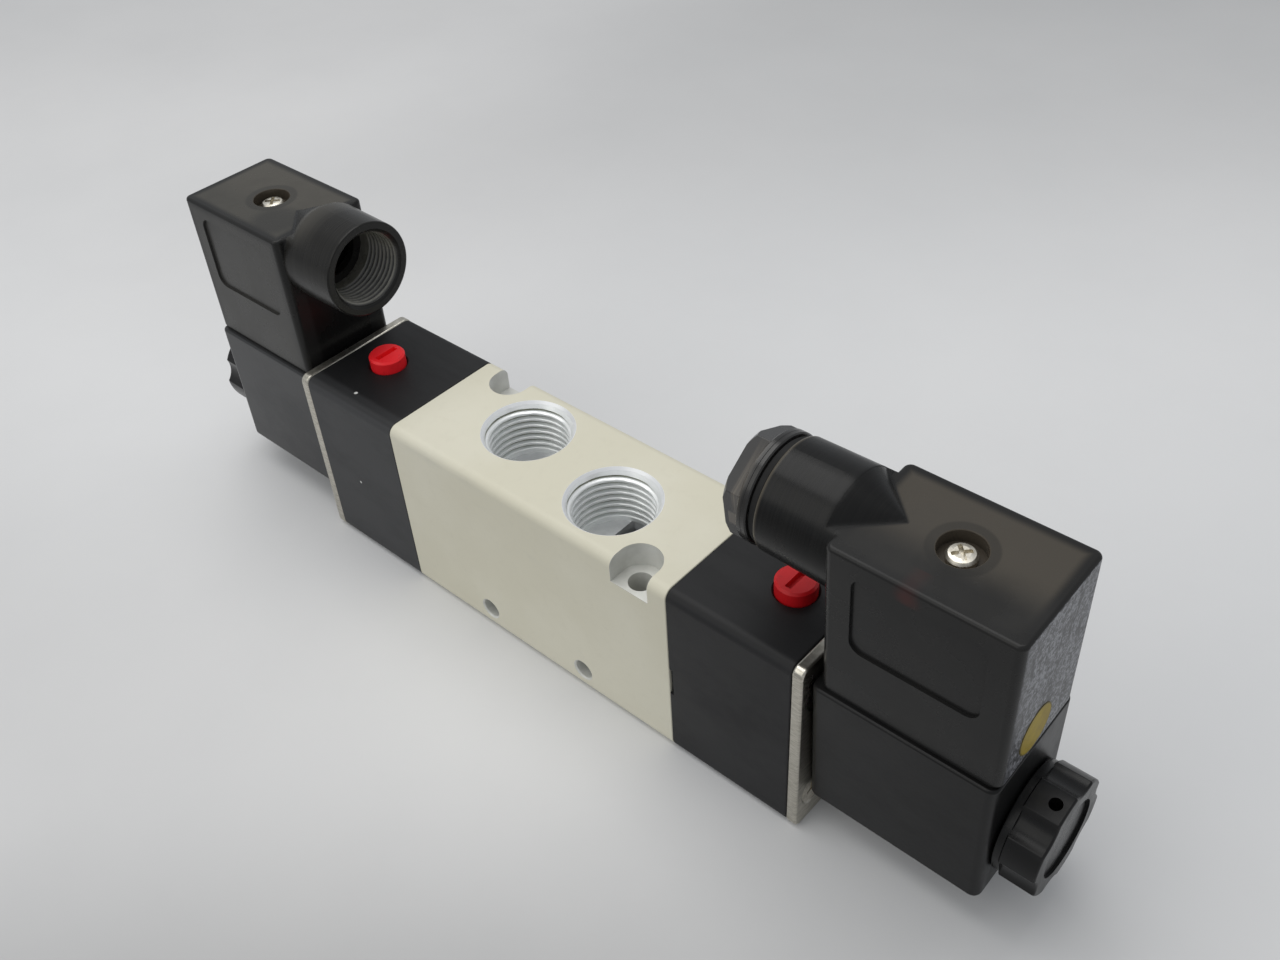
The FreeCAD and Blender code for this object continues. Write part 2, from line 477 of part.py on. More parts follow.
for side in ("left", "right"):
    side_add("pilot_block", side, block)
    side_add("bore_seal", side, bore_seal)
    side_add("pilot_nozzle", side, nozzle)
    b = button.copy()
    side_add("override_button", side, b)
    side_add("override_stem", side, stem)
    side_add("stem_seal", side, stem_seal)
    side_add("override_spring", side, ovr_spring)
    side_add("clamp_plate", side, plate)
    side_add("plate_screws", side, screws)
    side_add("armature_tube", side, tube)
    side_add("fixed_core", side, core)
    side_add("plunger", side, plunger)
    side_add("plunger_seal", side, plunger_seal)
    side_add("plunger_spring", side, plunger_spring)
    side_add("coil_housing", side, coil, True)
    side_add("coil_bobbin", side, bobbin, True)
    side_add("coil_winding", side, winding, True)
    side_add("coil_terminals", side, terminals, True)
    side_add("connector_gasket", side, gasket, True)
    side_add("connector_housing", side, con, True)
    side_add("terminal_block", side, tb, True)
    side_add("wire_clamps", side, clamps, True)
    side_add("indicator_lamp", side, lamp, True)
    side_add("connector_screw", side, cscrew, True)
    side_add("coil_nut", side, nut, True)

# ---------------------------------------------------------------- cable gland, right connector only
def roll(s):
    s = s.copy()
    s.rotate(V(0, 0, ZC), V(1, 0, 0), ROLL_RIGHT)
    return s

G_HEX0, G_HEX1, G_END = 54.3, 58.2, 60.2   # hexagon, then a grooved collar
AF = 19.9
HEX_AT = 3.7
SHANK_END = 68.5
hexr = AF / math.sqrt(3)
pts = [V(G_HEX0, hexr * math.cos(math.radians(HEX_AT + 30 + 60 * k)), BOSS_Z + hexr * math.sin(math.radians(HEX_AT + 30 + 60 * k))) for k in range(7)]
gnut = Part.Face(Part.makePolygon(pts)).extrude(V(G_HEX1 - G_HEX0, 0, 0))
gnut = gnut.makeFillet(0.25, edges_along(gnut, (1, 0, 0), lambda m: True))
gnut = gnut.common(revolve_x([(G_HEX0 - 0.1, 0), (G_HEX0 - 0.1, hexr - 1.1), (G_HEX0 + 1.0, hexr + 0.05), (G_HEX1 + 1, hexr + 0.05), (G_HEX1 + 1, 0)], BOSS_Z))
gnut = gnut.fuse(revolve_x([(G_HEX1 - 0.2, 0), (G_HEX1 - 0.2, 11.2), (G_HEX1 + 0.1, 11.45), (G_HEX1 + 0.85, 11.45), (G_HEX1 + 0.92, 11.39),
                            (G_HEX1 + 0.99, 11.45), (G_END - 0.25, 11.45), (G_END, 11.2), (G_END, 0)], BOSS_Z))
gnut = gnut.fuse(cyl(9.2, (G_END - 0.1, 0, BOSS_Z), (1, 0, 0), SHANK_END - G_END + 0.1))
gnut = gnut.cut(cyl(5.5, (G_HEX0 - 1, 0, BOSS_Z), (1, 0, 0), 20))
gnut = gnut.cut(cone(7.6, 5.5, (G_HEX0 - 0.01, 0, BOSS_Z), (1, 0, 0), 2.1))
gring = revolve_x([(G_END + 0.02, 9.25), (G_END + 0.02, 10.5), (G_END + 0.35, 10.8), (BOSS_X - 0.35, 10.8), (BOSS_X - 0.02, 10.5), (BOSS_X - 0.02, 9.25)], BOSS_Z)
gseal = revolve_x([(SHANK_END + 0.1, 4.6), (SHANK_END + 0.1, 9.15), (BOSS_X + BOSS_THREAD_L - 0.05, 9.15), (BOSS_X + BOSS_THREAD_L - 0.05, 4.6)], BOSS_Z)
add("gland_nut", roll(gnut))
add("gland_ring", roll(gring))
add("gland_seal", roll(gseal))

# ---------------------------------------------------------------- write
total = 0.0
for name, shapes in nodes.items():
    solids = []
    for s in shapes:
        solids += s.Solids
    for i, s in enumerate(solids):
        if not s.isValid() or s.Volume <= 0:
            fixed = s.copy()
            fixed.fix(1e-6, 1e-6, 1e-6)
            solids[i] = fixed
            print("repaired", name, i, fixed.isValid(), fixed.Volume)
    out = solids[0] if len(solids) == 1 else Part.makeCompound(solids)
    total += sum(s.Volume for s in solids)
    out.exportStep("parts/%s.step" % name)
    bb = out.BoundBox
    print("%-24s solids %d  vol %9.1f  x %.1f..%.1f y %.1f..%.1f z %.1f..%.1f" % (
        name, len(solids), out.Volume, bb.XMin, bb.XMax, bb.YMin, bb.YMax, bb.ZMin, bb.ZMax))
print(len(nodes), "nodes, total volume", round(total, 1))
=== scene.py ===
import json
import math
import bpy
import bmesh
from mathutils import Vector, Matrix


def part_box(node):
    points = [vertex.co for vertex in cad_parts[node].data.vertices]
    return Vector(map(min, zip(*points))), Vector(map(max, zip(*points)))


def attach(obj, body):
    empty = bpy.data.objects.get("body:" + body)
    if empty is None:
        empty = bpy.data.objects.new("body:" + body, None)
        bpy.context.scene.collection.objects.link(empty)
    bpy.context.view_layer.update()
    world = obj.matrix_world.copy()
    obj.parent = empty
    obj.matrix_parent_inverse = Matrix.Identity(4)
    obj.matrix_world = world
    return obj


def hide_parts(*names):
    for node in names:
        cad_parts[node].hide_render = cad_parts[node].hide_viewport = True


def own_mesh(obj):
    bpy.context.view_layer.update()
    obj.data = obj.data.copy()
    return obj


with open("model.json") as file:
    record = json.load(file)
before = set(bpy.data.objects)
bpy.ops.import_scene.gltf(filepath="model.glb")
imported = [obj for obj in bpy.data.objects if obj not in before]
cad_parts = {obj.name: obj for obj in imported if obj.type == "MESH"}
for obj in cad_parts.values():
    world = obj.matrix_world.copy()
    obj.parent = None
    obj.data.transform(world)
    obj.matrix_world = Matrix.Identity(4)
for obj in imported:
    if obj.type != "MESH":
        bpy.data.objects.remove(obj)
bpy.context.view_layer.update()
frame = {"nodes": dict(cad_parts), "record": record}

NODES = frame["nodes"]
BODIES = frame["record"]["behaviour"]["bodies"]
BODY_OF = {n: b for b, ns in BODIES.items() for n in ns}
MM = 0.001


def col(r, g, b):
    """sRGB 0-255 to linear."""
    out = []
    for v in (r, g, b):
        v /= 255.0
        out.append(v / 12.92 if v <= 0.04045 else ((v + 0.055) / 1.055) ** 2.4)
    return tuple(out) + (1.0,)


def lin(*v):
    return tuple(v) + (1.0,)


# ------------------------------------------------------------------ node graphs
class Graph:
    def __init__(self, name):
        self.mat = bpy.data.materials.new(name)
        self.mat.use_nodes = True
        self.nt = self.mat.node_tree
        self.nt.nodes.clear()
        self.out = self.nt.nodes.new("ShaderNodeOutputMaterial")
        self.bsdf = self.nt.nodes.new("ShaderNodeBsdfPrincipled")
        self.nt.links.new(self.bsdf.outputs[0], self.out.inputs["Surface"])
        self.tc = self.nt.nodes.new("ShaderNodeTexCoord")
        self.pos = self.tc.outputs["Object"]
        self._xyz = None

    def node(self, kind, **props):
        n = self.nt.nodes.new(kind)
        for k, v in props.items():
            setattr(n, k, v)
        return n

    def put(self, sock, v):
        if isinstance(v, S):
            self.nt.links.new(v.sock, sock)
        elif isinstance(v, bpy.types.NodeSocket):
            self.nt.links.new(v, sock)
        else:
            sock.default_value = v

    def xyz(self):
        if self._xyz is None:
            n = self.node("ShaderNodeSeparateXYZ")
            self.put(n.inputs[0], self.pos)
            self._xyz = tuple(S(self, n.outputs[i]) for i in range(3))
        return self._xyz

    def math(self, op, a, b=None, c=None, clamp=False):
        n = self.node("ShaderNodeMath", operation=op)
        n.use_clamp = clamp
        self.put(n.inputs[0], a)
        if b is not None:
            self.put(n.inputs[1], b)
        if c is not None:
            self.put(n.inputs[2], c)
        return S(self, n.outputs[0])

    def scaled(self, sx, sy=None, sz=None, rot=(0, 0, 0)):
        n = self.node("ShaderNodeMapping")
        self.put(n.inputs["Vector"], self.pos)
        n.inputs["Scale"].default_value = (sx, sy if sy is not None else sx, sz if sz is not None else sx)
        n.inputs["Rotation"].default_value = rot
        return n.outputs[0]

    def noise(self, scale, detail=3.0, rough=0.5, vec=None, distortion=0.0):
        n = self.node("ShaderNodeTexNoise")
        self.put(n.inputs["Vector"], vec if vec is not None else self.pos)
        n.inputs["Scale"].default_value = scale
        n.inputs["Detail"].default_value = detail
        n.inputs["Roughness"].default_value = rough
        n.inputs["Distortion"].default_value = distortion
        return S(self, n.outputs["Fac"])

    def voronoi(self, scale, vec=None, feature="F1", rand=1.0):
        n = self.node("ShaderNodeTexVoronoi", feature=feature)
        self.put(n.inputs["Vector"], vec if vec is not None else self.pos)
        n.inputs["Scale"].default_value = scale
        n.inputs["Randomness"].default_value = rand
        return S(self, n.outputs["Distance"]), n.outputs["Color"]

    def ramp(self, fac, lo, hi, smooth=True):
        """0 below lo, 1 above hi."""
        n = self.node("ShaderNodeMapRange", interpolation_type="SMOOTHSTEP" if smooth else "LINEAR")
        n.clamp = True if not smooth else n.clamp
        self.put(n.inputs["Value"], fac)
        n.inputs["From Min"].default_value = lo
        n.inputs["From Max"].default_value = hi
        n.inputs["To Min"].default_value = 0.0
        n.inputs["To Max"].default_value = 1.0
        return S(self, n.outputs["Result"])

    def mix(self, fac, a, b, kind="MIX"):
        n = self.node("ShaderNodeMix", data_type="RGBA", blend_type=kind)
        n.clamp_factor = True
        self.put(n.inputs[0], fac)
        self.put(n.inputs[6], a)
        self.put(n.inputs[7], b)
        return n.outputs[2]

    def mixf(self, fac, a, b):
        n = self.node("ShaderNodeMix", data_type="FLOAT")
        n.clamp_factor = True
        self.put(n.inputs[0], fac)
        self.put(n.inputs[2], a)
        self.put(n.inputs[3], b)
        return S(self, n.outputs[0])

    def bump(self, height, strength, distance, normal=None):
        n = self.node("ShaderNodeBump")
        n.inputs["Strength"].default_value = strength
        n.inputs["Distance"].default_value = distance
        self.put(n.inputs["Height"], height)
        if normal is not None:
            self.put(n.inputs["Normal"], normal)
        return n.outputs[0]

    def set(self, **kw):
        names = {"color": "Base Color", "rough": "Roughness", "metal": "Metallic", "ior": "IOR",
                 "trans": "Transmission Weight", "normal": "Normal", "spec": "Specular IOR Level",
                 "coat": "Coat Weight", "coat_rough": "Coat Roughness", "sss": "Subsurface Weight",
                 "sss_scale": "Subsurface Scale", "sss_radius": "Subsurface Radius",
                 "emit": "Emission Color", "emit_s": "Emission Strength", "alpha": "Alpha",
                 "aniso": "Anisotropic", "sheen": "Sheen Weight"}
        for k, v in kw.items():
            self.put(self.bsdf.inputs[names[k]], v)
        return self


class S:
    """A scalar socket that can be written with ordinary arithmetic."""
    def __init__(self, g, sock):
        self.g, self.sock = g, sock

    def __add__(self, o): return self.g.math("ADD", self, o)
    def __radd__(self, o): return self.g.math("ADD", self, o)
    def __sub__(self, o): return self.g.math("SUBTRACT", self, o)
    def __rsub__(self, o): return self.g.math("SUBTRACT", o, self)
    def __mul__(self, o): return self.g.math("MULTIPLY", self, o)
    def __rmul__(self, o): return self.g.math("MULTIPLY", self, o)
    def __lt__(self, o): return self.g.math("LESS_THAN", self, o)
    def __gt__(self, o): return self.g.math("GREATER_THAN", self, o)
    def __and__(self, o): return self.g.math("MULTIPLY", self, o)
    def __or__(self, o): return self.g.math("MAXIMUM", self, o)
    def __abs__(self): return self.g.math("ABSOLUTE", self)


def dist2(g, a, a0, b, b0):
    """Distance in the plane of two coordinates from a point."""
    da, db = a - a0, b - b0
    return g.math("SQRT", da * da + db * db)


# ------------------------------------------------------------------ positions from the frame
vb0, vb1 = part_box("valve_body")
TOP = vb1.z
BODY_X = vb1.x
HALF_W = vb1.y
rb0, rb1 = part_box("right_pilot_block")
BLOCK_X = rb1.x
rc0, rc1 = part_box("right_coil_housing")
lc0, lc1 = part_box("left_coil_housing")
cn0, cn1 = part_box("right_connector_housing")
lcn0, lcn1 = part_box("left_connector_housing")
MOUNT = {m["name"]: m for m in frame["record"]["mounts"]}
ZC = 0.0237
ROLL = math.radians(2.8)
SCREW_AX = 0.09695


def rolled(x, y, z):
    """A point drawn for an upright right coil, turned with the real one about the tube's axis."""
    c, s = math.cos(ROLL), math.sin(ROLL)
    return Vector((x, y * c - (z - ZC) * s, ZC + y * s + (z - ZC) * c))


# ------------------------------------------------------------------ materials
PORTS_UP = [(-0.01587, 0.00285, 0.0111), (0.01587, -0.00285, 0.0111)]
PORTS_DOWN = [(0.0, 0.0, 0.0111), (-0.030, 0.0, 0.0089), (0.030, 0.0, 0.0089)]


def body_masks(g):
    """Where the body is bare: bright in the ports and the spool bore, duller in the pockets and holes."""
    x, y, z = g.xyz()
    bright = None
    for px, py, pr in PORTS_UP:
        t = (dist2(g, x, px, y, py) < pr + 0.00004) & (z > 0.030)
        bright = t if bright is None else bright | t
    for px, py, pr in PORTS_DOWN:
        bright = bright | ((dist2(g, x, px, y, py) < pr + 0.00004) & (z < 0.0135))
    bright = bright | ((dist2(g, y, 0.0, z, ZC) < 0.0128) & (abs(x) < BODY_X + 0.001))
    dull = None
    for s in (-1, 1):
        px, py = s * 0.0325, -s * 0.0132
        inx = abs(x - px) < 0.00515
        iny = (y * (-s)) > 0.0081
        inz = (z > 0.0431) & (z < 0.04936)
        t = (inx & iny & inz) | (dist2(g, x, px, y, py) < 0.0032)
        t = t | (dist2(g, x, s * 0.0155, z, 0.0061) < 0.00288)
        dull = t if dull is None else dull | t
    return bright, dull


def mat_body():
    g = Graph("cream_paint")
    bare, dull = body_masks(g)
    broad = g.noise(28.0, 3.0, 0.55)
    fine = g.noise(420.0, 4.0, 0.6)
    speck, _ = g.voronoi(620.0)
    cream = g.mix(g.ramp(broad, 0.35, 0.68), lin(0.650, 0.622, 0.498), lin(0.692, 0.666, 0.548))
    cream = g.mix(g.ramp(fine, 0.50, 0.80) * 0.12, cream, lin(0.50, 0.47, 0.37))
    # handling marks, long and faint
    smear = g.noise(9.0, 5.0, 0.65, vec=g.scaled(3.0, 1.0, 8.0, rot=(0.3, 0.2, 0.5)))
    cream = g.mix(g.ramp(smear, 0.58, 0.74) * 0.22, cream, lin(0.46, 0.45, 0.38))
    pits = g.ramp(speck, 0.055, 0.02)
    cream = g.mix(pits * 0.25, cream, lin(0.33, 0.31, 0.25))
    alloy_n = g.noise(160.0, 4.0, 0.6)
    alloy = g.mix(g.ramp(alloy_n, 0.3, 0.7), lin(0.60, 0.61, 0.62), lin(0.78, 0.79, 0.79))
    grey = g.mix(g.ramp(alloy_n, 0.3, 0.7), lin(0.56, 0.56, 0.52), lin(0.68, 0.68, 0.64))
    x, y, z = g.xyz()
    lip = bare & (z > TOP - 0.0009)              # painted highlight: the chamfer of the two upper ports is lighter and less metallic
    alloy = g.mix(lip, alloy, lin(0.84, 0.85, 0.86))
    g.set(color=g.mix(dull, g.mix(bare, cream, alloy), grey))
    g.set(metal=g.mixf(dull, bare * 0.55 - lip * 0.20, 0.10))
    g.set(rough=g.mixf(bare | dull, g.mixf(g.ramp(smear, 0.5, 0.75), 0.46, 0.34), g.mixf(alloy_n, 0.32, 0.48)))
    peel = g.noise(1500.0, 2.0, 0.5)
    g.set(normal=g.bump(peel + broad * 0.4, 0.18, 0.00006))
    g.set(spec=0.42)
    return g.mat


def mat_thread():
    g = Graph("machined_thread")
    x, y, z = g.xyz()
    n = g.noise(260.0, 4.0, 0.6)
    lines, _ = g.voronoi(900.0, vec=g.scaled(1.0, 1.0, 6.0))
    # painted shade: the thread roots are coloured dark, the lands stay bright
    root = None
    for (px, py, pr), r0, up in ([(p, 0.01004, True) for p in PORTS_UP]
                                 + [(PORTS_DOWN[0], 0.01004, False)]
                                 + [(p, 0.00800, False) for p in PORTS_DOWN[1:]]):
        r = dist2(g, x, px, y, py)
        m = g.ramp(r, r0, r0 + 0.00030) & (r < pr)
        m = m & ((z < TOP - 0.00125) & (z > 0.030) if up else (z > 0.00125) & (z < 0.014))
        root = m if root is None else root | m
    land = g.mix(g.ramp(n, 0.3, 0.75), lin(0.92, 0.94, 0.93), lin(0.98, 0.99, 0.985))
    g.set(color=g.mix(root, land, lin(0.30, 0.305, 0.230)))
    g.set(metal=0.38, rough=g.mixf(n, 0.26, 0.36))
    g.set(normal=g.bump(lines, 0.05, 0.00001))
    return g.mat


def mat_boss_thread():
    """Moulded thread: painted highlights on the crests, painted shade in the roots, lighter brown towards the mouth."""
    g = Graph("moulded_thread")
    x, y, z = g.xyz()
    n = g.noise(300.0, 3.0, 0.5)
    r = dist2(g, y, 0.0, z, 0.0766)
    # painted highlight on the crests, painted shade in the roots
    crest = g.ramp(r, 0.00918, 0.00872)
    lead = g.ramp(r, 0.00928, 0.00938)
    c = g.mix(crest, lin(0.018, 0.017, 0.015), g.mix(g.ramp(n, 0.3, 0.7), lin(0.16, 0.155, 0.13), lin(0.22, 0.21, 0.18)))
    g.set(color=g.mix(lead, c, lin(0.15, 0.135, 0.115)))
    g.set(rough=g.mixf(n, 0.22, 0.34), spec=0.6)
    g.set(normal=g.bump(n, 0.2, 0.00002))
    return g.mat


def mat_black(name, base, base2, rough_lo, rough_hi, grain=1800.0, grain_h=0.00003, specks=0.0, spec=0.5, coat=0.0,
              chips=(), painted_sheen_left=0.0, shade_top=0.0, shade_end=0.0):
    """Black mouldings: grain, faint scuffs and dust."""
    g = Graph(name)
    n = g.noise(45.0, 4.0, 0.6)
    scuff = g.noise(30.0, 6.0, 0.7, vec=g.scaled(1.0, 5.0, 2.0, rot=(0.5, 0.2, 0.9)))
    c = g.mix(g.ramp(n, 0.35, 0.7), base, base2)
    c = g.mix(g.ramp(scuff, 0.60, 0.80) * 0.35, c, lin(0.075, 0.075, 0.075))
    if specks:
        d, cc = g.voronoi(150.0)
        sep = g.node("ShaderNodeSeparateColor")
        g.put(sep.inputs[0], cc)
        chosen = S(g, sep.outputs[0]) > (1.0 - specks)
        c = g.mix(g.ramp(d, 0.060, 0.035) & chosen, c, lin(0.42, 0.42, 0.40))
    x, y, z = g.xyz()
    # painted sheen: the near sides of the left-hand parts are coloured lighter
    if painted_sheen_left:
        c = g.mix((x < 0.0) * (g.ramp(y, -0.0120, -0.0134) * painted_sheen_left), c, lin(0.090, 0.092, 0.096))
    if shade_top:
        c = g.mix(g.ramp(z, 0.0484, 0.0490) * shade_top, c, lin(0.0, 0.0, 0.0))
    if shade_end:
        c = g.mix(g.ramp(x, 0.082, 0.118) * shade_end, c, lin(0.0, 0.0, 0.0))
    if chips:
        wob = g.noise(1500.0, 2.0, 0.5)
        for cx, cy, cz, cr in chips:
            d3 = g.math("SQRT", (x - cx) * (x - cx) + (y - cy) * (y - cy) + (z - cz) * (z - cz))
            c = g.mix(g.ramp(d3 + (wob - 0.5) * 0.0004, cr + 0.00008, cr - 0.00008), c, lin(0.62, 0.62, 0.60))
    g.set(color=c)
    g.set(rough=g.mixf(g.ramp(scuff, 0.40, 0.75), rough_lo, rough_hi))
    fine = g.noise(grain, 2.0, 0.5)
    g.set(normal=g.bump(fine, 0.35, grain_h))
    g.set(spec=spec)
    if coat:
        g.set(coat=coat, coat_rough=0.25)
    return g.mat


def mat_smoke():
    """Smoked plastic housing: near black, with painted light where the hollow inside would show through the top,
    painted shade in bands where the walls and the screw post stand behind it."""
    g = Graph("smoked_plastic")
    x, y, z = g.xyz()
    right = x > 0.0
    c, s = math.cos(ROLL), math.sin(ROLL)
    yr = g.mixf(right, y, y * c + (z - ZC) * s)
    zr = g.mixf(right, z, ZC - y * s + (z - ZC) * c)
    ax = abs(x)
    n = g.noise(35.0, 3.0, 0.55)
    haze = g.noise(60.0, 5.0, 0.65)
    wavy = g.noise(110.0, 3.0, 0.5)
    wedge = g.ramp((0.0868 - ax) * 0.93 - abs(yr + 0.0002), -0.0006, 0.0004) & (ax < 0.0868)
    base = g.mix(g.ramp(n, 0.3, 0.7), lin(0.0135, 0.0135, 0.0135), lin(0.0180, 0.0175, 0.0167))
    tools = g.noise(1.0, 2.0, 0.5, vec=g.scaled(2600.0, 12.0, 12.0))
    # painted shade: the bosses and the wedge are coloured darker than the box, with fine tooling lines
    boss = (ax < 0.0780) | wedge
    dark = g.mix(g.ramp(tools, 0.35, 0.65), lin(0.0055, 0.0055, 0.0055), lin(0.0085, 0.0083, 0.0080))
    base = g.mix(boss, base, dark)
    # the mouth's edge lets a little brown light through
    lip = g.ramp(ax, 0.0629, 0.0622) & (zr > 0.0720) & right
    base = g.mix(lip * 0.55, base, lin(0.135, 0.115, 0.085))
    # painted light: the left housing's sides are coloured lighter
    side_painted_light = g.ramp(g.math("MINIMUM", ax - 0.0800, 0.1140 - ax), -0.0012, 0.0022) & g.ramp(zr, 0.0835, 0.0815)
    base = g.mix((1.0 - right) & side_painted_light & (ax > 0.0780) * 0.40, base, lin(0.085, 0.083, 0.077))
    # light passes through the left boss: a paler patch on its crown, fine rings along its side
    crown = g.ramp(zr, 0.0820, 0.0872) & g.ramp(ax, 0.0690, 0.0760)
    base = g.mix((1.0 - right) & (ax < 0.0782) & (crown * 0.34 + g.ramp(tools, 0.38, 0.62) * 0.05 + 0.05), base,
                 lin(0.120, 0.113, 0.098))
    # the top: painted light where the hollow inside would show through, lighter towards the far side, with painted
    # shade around the screw post and by the left housing's boss
    top = g.ramp(zr, 0.0831, 0.0838) & g.ramp(ax, 0.0784, 0.0800) & (1.0 - wedge)
    d_long = 0.013 - abs(yr)                     # distance to the long edges
    d_end = g.math("MINIMUM", 0.1157 - ax, ax - 0.0782)
    d_edge = g.math("MINIMUM", d_long, d_end) + (wavy - 0.5) * 0.0003
    inner = g.ramp(d_edge, 0.0012, 0.0030)
    far = g.ramp(yr + (haze - 0.5) * 0.004, -0.0075, 0.0015)
    post = dist2(g, ax, SCREW_AX, yr, 0.0)
    hollow = g.mix(far, lin(0.0190, 0.0185, 0.0175), lin(0.066, 0.058, 0.047))
    hollow = g.mix((1.0 - right) * 0.75, hollow, lin(0.066, 0.062, 0.052))
    ring = g.ramp(post, 0.0066, 0.0060) * 0.45
    hollow = g.mix(ring, hollow, lin(0.016, 0.016, 0.015))
    shade = g.ramp(dist2(g, ax, 0.0868, yr, -0.0062), 0.0080, 0.0040) * 0.6
    hollow = g.mix(shade & (1.0 - right), hollow, lin(0.022, 0.022, 0.021))
    hollow = g.mix(g.ramp(haze, 0.45, 0.75) * 0.30, hollow, lin(0.030, 0.028, 0.025))
    rim = g.ramp(yr, 0.0100, 0.0112)
    base = g.mix(top & inner, base, hollow)
    # inside of the screw recess
    well = g.ramp(post, 0.00460, 0.00452) & (zr > 0.0808)
    base = g.mix(well, base, lin(0.060, 0.050, 0.038))
    # a red lamp glows faintly through the near upper corner
    lamp = dist2(g, x, 0.0945, zr, 0.0820)
    glow = g.ramp(lamp + (haze - 0.5) * 0.002, 0.0034, 0.0004) & right & (yr < -0.0080)
    base = g.mix(glow * 0.36, base, lin(0.10, 0.014, 0.011))
    # fine dust and scuffs
    d, cc = g.voronoi(210.0)
    sep = g.node("ShaderNodeSeparateColor")
    g.put(sep.inputs[0], cc)
    dust = g.ramp(d, 0.050, 0.028) & (S(g, sep.outputs[0]) > 0.975)
    base = g.mix(dust, base, lin(0.30, 0.30, 0.28))
    # the right housing's end face: light grey, partly dust and partly a painted reflection, broken up by grit, with
    # dark scratches and pits, darker towards its near edge
    end = g.ramp(ax, 0.11562, 0.11568)
    grit = g.noise(1500.0, 4.0, 0.7)
    scr = g.noise(160.0, 5.0, 0.7, vec=g.scaled(1.0, 3.0, 1.0, rot=(0.5, 0.0, 0.0)))
    end_dust_and_reflection = g.mix(g.ramp(grit, 0.42, 0.60), lin(0.055, 0.055, 0.060), lin(0.275, 0.280, 0.300))
    end_dust_and_reflection = g.mix(g.ramp(scr, 0.52, 0.60) * 0.75, end_dust_and_reflection, lin(0.022, 0.022, 0.024))
    pit, _ = g.voronoi(760.0)
    end_dust_and_reflection = g.mix(g.ramp(pit, 0.36, 0.22) * 0.8, end_dust_and_reflection, lin(0.020, 0.020, 0.022))
    end_dust_and_reflection = g.mix(g.ramp(yr, -0.0085, -0.0125) * 0.6, end_dust_and_reflection, lin(0.035, 0.035, 0.038))
    base = g.mix(end & right, base, end_dust_and_reflection)
    g.set(color=base)
    g.set(rough=g.mixf(end, g.mixf(g.ramp(haze, 0.35, 0.75), 0.24, 0.36), g.mixf(grit, 0.22, 0.50)))
    fine = g.noise(900.0, 2.0, 0.5)
    soft = g.node("ShaderNodeBevel")
    soft.samples = 4
    soft.inputs["Radius"].default_value = 0.0012
    geo = g.node("ShaderNodeNewGeometry")
    blend = (ax > 0.0735) & (ax < 0.0875) & g.ramp(zr, 0.0790, 0.0810) & (abs(yr) < 0.0108)
    nrm = g.mix(blend, geo.outputs["Normal"], soft.outputs[0])
    g.set(normal=g.bump(fine * 0.5 + end * grit, 0.3, 0.00004, normal=nrm))
    g.set(spec=0.21)
    return g.mat


def mat_gland():
    """Gland nut in the same smoked plastic, lighter bands where light passes through the collar."""
    g = Graph("smoked_gland")
    x, y, z = g.xyz()
    n = g.noise(60.0, 4.0, 0.6)
    stripe = g.noise(1.0, 2.0, 0.5, vec=g.scaled(2600.0, 40.0, 40.0))
    base = g.mix(g.ramp(n, 0.3, 0.7), lin(0.016, 0.016, 0.017), lin(0.030, 0.030, 0.031))
    up = g.ramp(z, 0.0700, 0.0840)
    coll = g.ramp(x, 0.0560, 0.0568) & g.ramp(x, 0.0590, 0.0582)
    back = g.ramp(x, 0.0582, 0.0590)
    lit = g.ramp(y, -0.0020, -0.0090) & g.ramp(z, 0.0730, 0.0800)
    base = g.mix(coll & (g.ramp(stripe, 0.30, 0.70) * 0.6 + 0.25) & lit, base, lin(0.125, 0.108, 0.088))
    # painted light: the nut is coloured lighter towards the top
    base = g.mix(up * 0.10, base, lin(0.060, 0.055, 0.047))
    base = g.mix(back & (0.55 + g.ramp(stripe, 0.35, 0.65) * 0.35), base, lin(0.014, 0.013, 0.012))
    # light through the hexagon's lower corner
    patch = g.ramp(dist2(g, y, -0.0128, z, 0.0742), 0.0020, 0.0012) & (x > 0.0552) & (x < 0.0570)
    base = g.mix(patch * 0.8, base, lin(0.120, 0.105, 0.088))
    g.set(color=base)
    g.set(rough=g.mixf(g.ramp(n, 0.35, 0.75), 0.20, 0.34), spec=0.45)
    g.set(normal=g.bump(g.noise(900.0, 2.0, 0.5), 0.25, 0.00002))
    return g.mat


def mat_metal(name, dark, light, rough, scale=(1, 1, 1), grain=240.0, h=0.00002):
    """Plated or machined metal with a drawn grain along one axis."""
    g = Graph(name)
    n = g.noise(grain, 5.0, 0.65, vec=g.scaled(*scale))
    b = g.noise(40.0, 3.0, 0.5)
    g.set(color=g.mix(g.ramp(n, 0.32, 0.70), dark, light))
    g.set(metal=1.0, rough=g.mixf(g.ramp(b, 0.3, 0.7), rough[0], rough[1]))
    g.set(normal=g.bump(n, 0.3, h))
    return g.mat


def mat_plastic(name, a, b, rough=(0.35, 0.5), grain=700.0, h=0.00002, sss=0.0, spec=0.5):
    g = Graph(name)
    n = g.noise(60.0, 4.0, 0.6)
    g.set(color=g.mix(g.ramp(n, 0.3, 0.7), a, b))
    g.set(rough=g.mixf(g.ramp(g.noise(90.0, 4.0, 0.6), 0.35, 0.7), rough[0], rough[1]))
    g.set(normal=g.bump(g.noise(grain, 2.0, 0.5), 0.3, h))
    g.set(spec=spec)
    if sss:
        g.set(sss=sss, sss_scale=0.001)
    return g.mat


